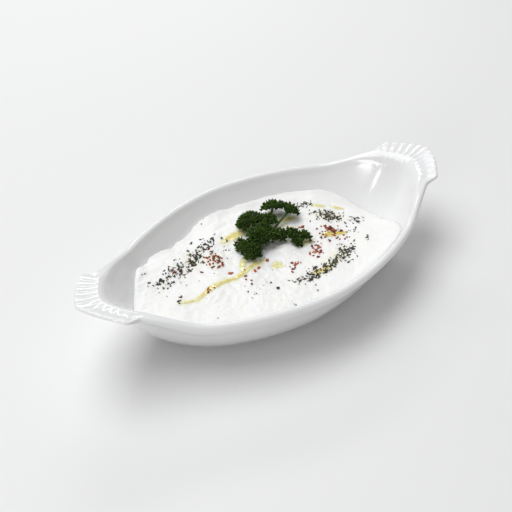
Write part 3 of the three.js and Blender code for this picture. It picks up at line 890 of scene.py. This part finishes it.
# The drifts of the solid's other flakes: x, y, half length, half width, turn in degrees, count and kind.
FLAKE_DRIFTS = (
    (-33, 24, 13, 5, 22, 7, "herb"),
    (-57, 15, 12, 5, 6, 8, "herb"),
    (-32, 11, 8, 5, -80, 3, "chilli"),
    (48, 14, 9, 3, -38, 4, "herb"),
    (56, 1, 10, 4, -75, 5, "herb"),
    (27, -28.5, 14, 3, 17, 7, "herb"),
    (6, -31, 12, 3, -4, 3, "pepper"),
    (-24, -22, 13, 5, -12, 3, "pepper"),
    (42, -7, 9, 4, -38, 3, "chilli"),
    (19, -15, 8, 4, -50, 2, "chilli"),
)

# The finer flakes between them, by kind: x, y, half length, half width, turn and count.
FINE_DRIFTS = {
    "herb": (
        (-41, 20.5, 8.5, 4.5, 53, 62), (-29, 28.5, 5.5, 2, 53, 16),
        (-22, 29, 4.5, 2, 53, 10), (-55, 17, 8, 7, 53, 26),
        (-67, 15, 4, 3.5, 53, 10), (-33, 24, 14, 4, 20, 30),
        (-58.5, 16, 11, 3, 0, 26), (-62.5, 11, 7, 2, 0, 12),
        (-65.5, -4, 5.5, 2, 53, 9), (-46, 16, 32, 12, 20, 34),
        (49, 22.5, 3.5, 1, 53, 6), (49.5, 6.5, 10, 6, -37, 52),
        (53, 6.5, 8, 2.5, -74, 18), (44.5, 14.5, 3, 1, -17, 6),
        (62.5, -5, 5.5, 2, -85, 8), (52.5, -12.5, 4.5, 4.5, 0, 8),
        (52.5, -25.5, 4, 1, 53, 6), (34.5, -27.5, 11, 5, 53, 42),
        (37, -26.5, 5, 2, 5, 22), (24.5, -29.5, 10, 3.5, 18, 62),
        (9.5, -31, 10, 4, -3, 80), (4, -32, 9, 3, -5, 26),
        (-4.5, -29.5, 5, 2.5, -44, 16),
    ),
    "wisp": (
        (43, 24.5, 3, 2.5, 0, 7), (46, 25, 3.5, 1, -37, 5),
        (50, 8, 9, 5, -37, 14), (63, -4, 5, 5, 0, 12),
    ),
    "chilli": (
        (-55, 17, 6, 5, 53, 8), (-31.5, 13, 8, 6, 53, 38),
        (43, -4, 8, 3.5, -33, 34), (39, -9, 7, 6, 0, 14),
        (43, -15.5, 4, 1.5, -37, 6), (23, -14.5, 11, 4, 53, 30),
        (3.5, -17, 6, 3, 53, 14), (-49, -8, 4, 2, 0, 5),
        (-24.5, -11, 5, 3, 0, 4), (31.5, 9, 3, 2, 0, 4),
    ),
    "pepper": (
        (-19.5, 18, 4, 4, 0, 8), (-29, -26, 4, 4, 0, 8),
        (-71, 24, 3, 3, 0, 2), (-19, -23, 3, 3, 0, 3),
        (0, -41.5, 4, 3, 0, 3), (-18, -43, 4, 3, 0, 3),
        (-10, -4, 80, 44, 10, 26),
    ),
}


FINE_UNDER_LEAVES = 1.0  # how far the finer flakes may lie under a leaf's edge
FINE_FROM_DISH = 4.0  # how far they keep from the dish
FINE_SIZES = {"herb": (0.9, 2.7), "pepper": (0.4, 1.1), "chilli": (1.0, 2.8), "wisp": (2.2, 5.5)}
PEPPER_SHRINK = 0.75  # size of a pepper grain for the length that its flake has in the solid


def clear_of_parsley(x, y, margin):
    return all(math.hypot(x - leaf[0], y - leaf[1]) > leaf[3] + margin for leaf in LEAVES)


def on_raita(x, y, margin):
    return math.hypot(x, y) + margin < outline_value(math.atan2(y, x), OUTLINE_DISTANCES)


def solid_flakes(draw):
    """The place, length and kind of the flakes that are fused to the solid, by its own rule."""
    flakes = [(*flake, kind) for kind, singles in SINGLE_FLAKES.items() for flake in singles]
    for x, y, half_length, half_width, turn, count, kind in FLAKE_DRIFTS:
        left = count
        while left > 0:
            out = math.sqrt(draw())
            angle = 2 * math.pi * draw()
            along = half_length * math.cos(angle) * out
            across = half_width * math.sin(angle) * out
            px, py = turned_place(x, y, along, across, turn)
            apart = all(math.hypot(px - q[0], py - q[1]) > FLAKE_SPACING for q in flakes)
            if apart and clear_of_parsley(px, py, FLAKE_SPACING / 2):
                flakes.append((px, py, lerp(1.6, 2.6, draw() ** 2), kind))
                left -= 1
    return flakes


HERB_THICKNESS = 0.22
CHILLI_THICKNESS = 0.42
WISP_STEPS = 8
WISP_SIDES = 5
NEARLY_UP = (0.13, 0.07, 1.0)  # no tube runs this way
CHIP_CORNERS = 8
GRAIN_SIDES = 6
GRAIN_RINGS = ((-0.55, 0.6), (0, 1.0), (0.55, 0.65))  # height and reach, for half its size


def basis_on(x, y, turn, tilt, draw):
    """Axes of something that lies on the raita, turned and tilted a little."""
    normal = unit(surface_normal(x, y) + np.array([*draw.normal(0, tilt, 2), 0]))
    along = np.array([math.cos(turn), math.sin(turn), 0])
    along = unit(along - normal * (along @ normal))
    return np.stack([along, np.cross(normal, along), normal])


def chip(length, width, thickness, bend, draw):
    """A small, bent, ragged scrap as a closed form."""
    turn = angles_round(CHIP_CORNERS) + draw.uniform(-0.25, 0.25, CHIP_CORNERS)
    reach = draw.uniform(0.72, 1.1, CHIP_CORNERS)
    plan = np.column_stack([length / 2 * reach * np.cos(turn), width / 2 * reach * np.sin(turn)])
    uneven = draw.uniform(-0.06, 0.06, CHIP_CORNERS) * length
    lift = bend * length * ((plan[:, 0] / length * 2) ** 2) + uneven
    under = np.column_stack([plan, lift - thickness / 2])
    top = np.column_stack([plan * 0.93, lift + thickness / 2])
    tips = [[0, 0, -thickness / 2], [0, 0, thickness / 2]]
    return np.vstack([under, top, *tips]), closed_faces(2, CHIP_CORNERS)


def tube(path, radii, sides):
    """A closed tube along a path."""
    rings = []
    for i, point in enumerate(path):
        ahead = unit(path[min(i + 1, len(path) - 1)] - path[max(i - 1, 0)])
        across = unit(np.cross(ahead, NEARLY_UP))
        over = np.cross(across, ahead)
        turn = angles_round(sides)[:, None]
        rings.append(point + radii[i] * (np.cos(turn) * across + np.sin(turn) * over))
    return np.vstack([*rings, path[0], path[-1]]), closed_faces(len(path), sides, flipped=True)


def grain(size, draw):
    """A small crushed grain: an uneven ball."""
    turn = angles_round(GRAIN_SIDES)
    rings = []
    for height, reach in GRAIN_RINGS:
        radius = reach * draw.uniform(0.75, 1.15, GRAIN_SIDES) / 2
        level = np.full(GRAIN_SIDES, height / 2)
        rings.append(np.column_stack([radius * np.cos(turn), radius * np.sin(turn), level]))
    points = np.vstack([*rings, [0, 0, -0.4], [0, 0, 0.42]]) * size
    return points, closed_faces(len(GRAIN_RINGS), GRAIN_SIDES)


# Each kind's colours as red, green and blue, and how often each of them comes.
HERB_COLORS = ((0.032, 0.029, 0.010), (0.072, 0.060, 0.022), (0.016, 0.015, 0.006), (0.14, 0.115, 0.045))
HERB_SHARES = (0.42, 0.26, 0.22, 0.10)
WISP_SHARES = (0.3, 0.35, 0.25, 0.10)
PEPPER_COLORS = ((0.020, 0.016, 0.012), (0.055, 0.04, 0.026), (0.11, 0.085, 0.055))
PEPPER_SHARES = (0.55, 0.3, 0.15)
CHILLI_COLORS = ((0.20, 0.022, 0.006), (0.12, 0.014, 0.006), (0.36, 0.055, 0.012), (0.46, 0.17, 0.04))
CHILLI_SHARES = (0.38, 0.2, 0.26, 0.16)


class Toppings:
    """The heaps of each kind of flake."""

    def __init__(self):
        self.draw = np.random.default_rng(21)
        self.heaps = {kind: Heap() for kind in FINE_DRIFTS}

    def pick(self, colors, shares):
        color = np.array(colors[self.draw.choice(len(colors), p=shares)])
        return color * self.draw.uniform(0.75, 1.3)

    def put(self, kind, x, y, points, faces, color, turn, tilt, lift):
        axes = basis_on(x, y, turn, tilt, self.draw)
        self.heaps[kind].add(points @ axes + on_surface(x, y, lift), faces, color)

    def herb(self, x, y, length, turn):
        width = length * self.draw.uniform(0.35, 0.7)
        points, faces = chip(length, width, HERB_THICKNESS, self.draw.uniform(-0.05, 0.16), self.draw)
        color = self.pick(HERB_COLORS, HERB_SHARES)
        self.put("herb", x, y, points, faces, color, turn, tilt=0.22, lift=0.18)

    def pepper(self, x, y, size, turn):
        points, faces = grain(size, self.draw)
        color = self.pick(PEPPER_COLORS, PEPPER_SHARES)
        self.put("pepper", x, y, points, faces, color, turn, tilt=0.3, lift=0.2 * size)

    def chilli(self, x, y, length, turn):
        width = length * self.draw.uniform(0.5, 0.85)
        points, faces = chip(length, width, CHILLI_THICKNESS, self.draw.uniform(-0.04, 0.12), self.draw)
        color = self.pick(CHILLI_COLORS, CHILLI_SHARES)
        self.put("chilli", x, y, points, faces, color, turn, tilt=0.2, lift=0.24)

    def wisp(self, x, y, length, turn):
        """A thin dry curl of herb, which lies along the surface."""
        curl = self.draw.uniform(-1.6, 1.6)
        along = np.linspace(-0.5, 0.5, WISP_STEPS)
        heading = turn + curl * along
        steps = np.column_stack([np.cos(heading), np.sin(heading)]) * length / (WISP_STEPS - 1)
        plan = np.cumsum(steps, axis=0) - steps.sum(axis=0) / 2 + np.array([x, y])
        radius = self.draw.uniform(0.16, 0.27)
        lift = 0.12 + 0.35 * self.draw.uniform() * (1 - (2 * along) ** 2)
        radii = radius * (1 - 0.6 * np.abs(2 * along) ** 3)
        points, faces = tube(on_surface(*plan.T, lift), radii, WISP_SIDES)
        self.heaps["wisp"].add(points, faces, self.pick(HERB_COLORS, WISP_SHARES))


def make_flakes():
    toppings = Toppings()
    draw = random_from(7)
    for x, y, length, kind in solid_flakes(draw):
        draw()  # the width of the solid's flake
        draw()  # and its lean
        turn = 2 * math.pi * draw()
        size = PEPPER_SHRINK * length if kind == "pepper" else length
        getattr(toppings, kind)(x, y, size, turn)

    fine = np.random.default_rng(33)
    for kind, drifts in FINE_DRIFTS.items():
        for x, y, half_length, half_width, turn, count in drifts:
            for _ in range(count):
                along, across = fine.normal(0, 0.5, 2) * (half_length, half_width)
                px, py = turned_place(x, y, along, across, turn)
                size = lerp(*FINE_SIZES[kind], fine.uniform() ** 1.8)
                heading = fine.uniform(0, 2 * math.pi)
                if clear_of_parsley(px, py, -FINE_UNDER_LEAVES) and on_raita(px, py, FINE_FROM_DISH):
                    getattr(toppings, kind)(px, py, size, heading)

    herb_finish = flake_material("dried_herb", 0.6)
    chilli_finish = flake_material("chilli_flakes", 0.35)
    pepper_finish = flake_material("black_pepper", 0.6)
    toppings.heaps["herb"].piece("herb_flakes", herb_finish, "raita", smooth=False)
    toppings.heaps["wisp"].piece("herb_wisps", herb_finish, "raita")
    toppings.heaps["pepper"].piece("pepper_grains", pepper_finish, "raita", smooth=False)
    toppings.heaps["chilli"].piece("chilli_flakes", chilli_finish, "raita", smooth=False)


# ---- The parsley ----

STEM_ROOT = (6.0, 12.0)
STEM_RADIUS = 0.75
STEM_HEIGHT = 1.2  # of the stems' middle over the raita
STEM_STEPS = 12
STEM_SIDES = 8
STEM_COLOR = (0.07, 0.12, 0.03)
LEAFLET_RINGS = 4
LEAFLET_POINTS = 26
LEAFLET_THICKNESS = 0.22
LEAFLET_SIZES = (1.5, 2.4)
LEAFLETS_PER_AREA = 0.62  # for a leaf's radius squared
LEAFLET_CLEARANCE = 0.12  # over the raita, where a leaf is pressed flat on it
LEAFLET_PRESSED = 0.05  # share of its depth that it keeps there
LEAF_MARGIN = 0.9  # from a leaf's edge to its outermost leaflets' middles
GOLDEN_ANGLE = math.pi * (3 - math.sqrt(5))
# The leaflets' greens: dark to middle for their random tone, which also paints shade into each leaflet's
# middle and light towards its edge; and a light green that is a painted highlight on the leaflets' outer
# rims.
LEAF_DARK = np.array([0.009, 0.022, 0.002])
LEAF_MIDDLE = np.array([0.036, 0.080, 0.007])
LEAF_PAINTED_HIGHLIGHT = np.array([0.14, 0.21, 0.045])


def rotation(axis, angle):
    x, y, z = axis
    c = math.cos(angle)
    across = math.sin(angle) * np.array([[0, -z, y], [z, 0, -x], [-y, x, 0]])
    return c * np.eye(3) + across + (1 - c) * np.outer(axis, axis)


def leaning(direction, angle):
    """The rotation of something upright that leans towards a direction in plan."""
    return rotation([-math.sin(direction), math.cos(direction), 0], angle)


def leaflet(radius, draw):
    """A curled frill of a leaf: a sheet whose edge waves, with an even thickness."""
    waves = draw.integers(4, 7)
    phase = draw.uniform(0, 2 * math.pi)
    ruffle = radius * draw.uniform(0.34, 0.55)
    cup = radius * draw.uniform(0.05, 0.4)
    turn = angles_round(LEAFLET_POINTS)
    lobes = 0.86 + 0.14 * np.cos(2 * waves * turn + phase) + draw.normal(0, 0.03, LEAFLET_POINTS)
    shares = np.linspace(0, 1, LEAFLET_RINGS + 1)[1:]
    rings = []
    for share in shares:
        reach = radius * share * (lobes if share > 0.9 else 0.93)
        height = ruffle * share**1.6 * np.sin(waves * turn + phase) + cup * share**2
        rings.append(np.column_stack([reach * np.cos(turn), reach * np.sin(turn), height]))
    sheet = np.vstack([*rings, [0, 0, 0]])
    outwards = np.append(np.repeat(shares, LEAFLET_POINTS), 0)
    up = np.array([0, 0, LEAFLET_THICKNESS / 2])
    count = len(sheet)
    middle = count - 1
    grid = rings_to_faces(LEAFLET_RINGS, LEAFLET_POINTS)
    edge = middle - LEAFLET_POINTS + np.arange(LEAFLET_POINTS)
    following = np.roll(edge, -1)
    faces = [
        grid[:, ::-1],
        cap_faces(middle, 0, LEAFLET_POINTS, flipped=False),
        grid + count,
        cap_faces(middle, 0, LEAFLET_POINTS, flipped=True) + count,
        np.stack([edge, edge + count, following + count, following], axis=-1),
    ]
    return np.vstack([sheet + up, sheet - up]), faces, np.concatenate([outwards, outwards])


def add_leaf(heap, leaf, draw):
    """A leaf of curled leaflets, which lie like a sunflower's seeds over a leaning dome."""
    x, y, rise, radius, lean, towards, _ = leaf
    leant = leaning(math.radians(towards), math.radians(lean))
    count = int(round(LEAFLETS_PER_AREA * radius**2))
    phase = draw.uniform(0, 2 * math.pi)
    for k in range(count):
        size = draw.uniform(*LEAFLET_SIZES)
        angle = GOLDEN_ANGLE * k + phase
        out = (radius - LEAF_MARGIN) * math.sqrt((k + 0.5) / count) * (0.92 + 0.1 * math.cos(5 * angle))
        share = out / radius
        height = -0.25 * radius * share**2 + draw.uniform(-0.9, 0.9) + 0.5
        middle = np.array([out * math.cos(angle), out * math.sin(angle), height])
        points, faces, outwards = leaflet(size, draw)
        leaned = leaning(angle, 0.25 + 0.75 * share + draw.normal(0, 0.25))
        spun = rotation([0, 0, 1], draw.uniform(0, 2 * math.pi))
        placed = (points @ spun.T @ leaned.T + middle) @ leant.T + on_surface(x, y, rise)
        floor = surface_height(placed[:, 0], placed[:, 1]) + LEAFLET_CLEARANCE
        low = placed[:, 2] < floor
        placed[low, 2] = floor[low] + LEAFLET_PRESSED * (placed[low, 2] - floor[low])
        # Painted light and shade over a random tone: each leaflet is darker at its middle and lighter
        # towards its edge, and its outer rim gets a painted highlight of light green.
        tone_and_painted_shade = np.clip(draw.normal(0.35, 0.25) + 0.45 * (outwards - 0.5), 0, 1)[:, None]
        painted_highlight = np.clip(outwards - 0.72, 0, 1)[:, None] * draw.uniform(0, 1.6)
        heap.add(placed, faces, mix(mix(LEAF_DARK, LEAF_MIDDLE, tone_and_painted_shade), LEAF_PAINTED_HIGHLIGHT, painted_highlight))


def add_stem(heap, leaf):
    """A stem that lies along the raita from the sprig's root and rises to its leaf."""
    x, y, rise = leaf[:3]
    start = on_surface(*STEM_ROOT, STEM_HEIGHT)
    end = on_surface(x, y, rise)
    middle = (start + end) / 2
    middle[2] = surface_height(*middle[:2]) + STEM_HEIGHT + 0.2 * rise
    t = np.linspace(0, 1, STEM_STEPS)[:, None]
    path = (1 - t) ** 2 * start + 2 * t * (1 - t) * middle + t**2 * end
    points, faces = tube(path, np.full(STEM_STEPS, STEM_RADIUS), STEM_SIDES)
    heap.add(points, faces, STEM_COLOR)


def make_parsley():
    heap = Heap()
    draw = np.random.default_rng(64)
    for leaf in LEAVES:
        add_leaf(heap, leaf, draw)
    for leaf in LEAVES:
        if leaf[-1]:
            add_stem(heap, leaf)
    parsley = heap.piece("curly_parsley", parsley_material(), "parsley")
    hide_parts("parsley")


# ---- Floor, lights and camera, in metres ----

FLOOR_REACH = 4.0
FLOOR_COLOR = (0.85, 0.85, 0.85, 1)
AIR_COLOR = (1.0, 0.99, 0.98, 1)
AIR_STRENGTH = 0.25
LIGHTS_TARGET = (0, 0, 0.03)
# Name, place, width, height, power in watts and colour of each light.
LIGHTS = (
    ("overhead", (-0.45, 0.5, 2.15), 2.2, 1.4, 39.0, (0.98, 0.99, 1)),
    ("window", (-0.77, -0.52, 0.39), 0.12, 0.31, 1.1, (1, 1, 1)),
    ("side_strip", (-0.782, -0.34, 0.55), 0.05, 0.07, 0.12, (1, 1, 1)),
    ("back_strip", (0.40, 0.76, 0.62), 0.45, 0.15, 1.5, (1, 1, 1)),
)
CAMERA_PLACE = (-0.2621, -0.3348, 0.3704)
CAMERA_TARGET = (-0.00519, 0.00771, 0.02377)
CAMERA_LENS = 65.6  # this and the sensor in millimetres
CAMERA_SENSOR = 36.0
CAMERA_SIGHT = (0.01, 20)  # from nearest to farthest


def make_floor():
    mesh = bpy.data.meshes.new("floor")
    corners = [(x * FLOOR_REACH, y * FLOOR_REACH, 0) for x, y in ((-1, -1), (1, -1), (1, 1), (-1, 1))]
    mesh.from_pydata(corners, [], [(0, 1, 2, 3)])
    mesh.materials.append(principled("floor", tinted=False, Base_Color=FLOOR_COLOR, Roughness=0.9))
    add_object("floor", mesh)


def light_scene():
    world = bpy.data.worlds.new("studio")
    world.use_nodes = True
    background = world.node_tree.nodes["Background"]
    background.inputs["Color"].default_value = AIR_COLOR
    background.inputs["Strength"].default_value = AIR_STRENGTH
    bpy.context.scene.world = world
    for name, place, width, height, power, color in LIGHTS:
        data = bpy.data.lights.new(name, "AREA")
        data.shape = "RECTANGLE"
        data.size = width
        data.size_y = height
        data.energy = power
        data.color = color
        aim(add_object(name, data), place, LIGHTS_TARGET)


def add_camera():
    data = bpy.data.cameras.new("camera")
    data.lens = CAMERA_LENS
    data.sensor_width = CAMERA_SENSOR
    data.clip_start, data.clip_end = CAMERA_SIGHT
    camera = add_object("camera", data)
    aim(camera, CAMERA_PLACE, CAMERA_TARGET)
    bpy.context.scene.camera = camera


make_dish()
make_raita()
make_oil()
make_flakes()
make_parsley()
make_floor()
light_scene()
add_camera()
bpy.context.scene.view_settings.view_transform = "Standard"
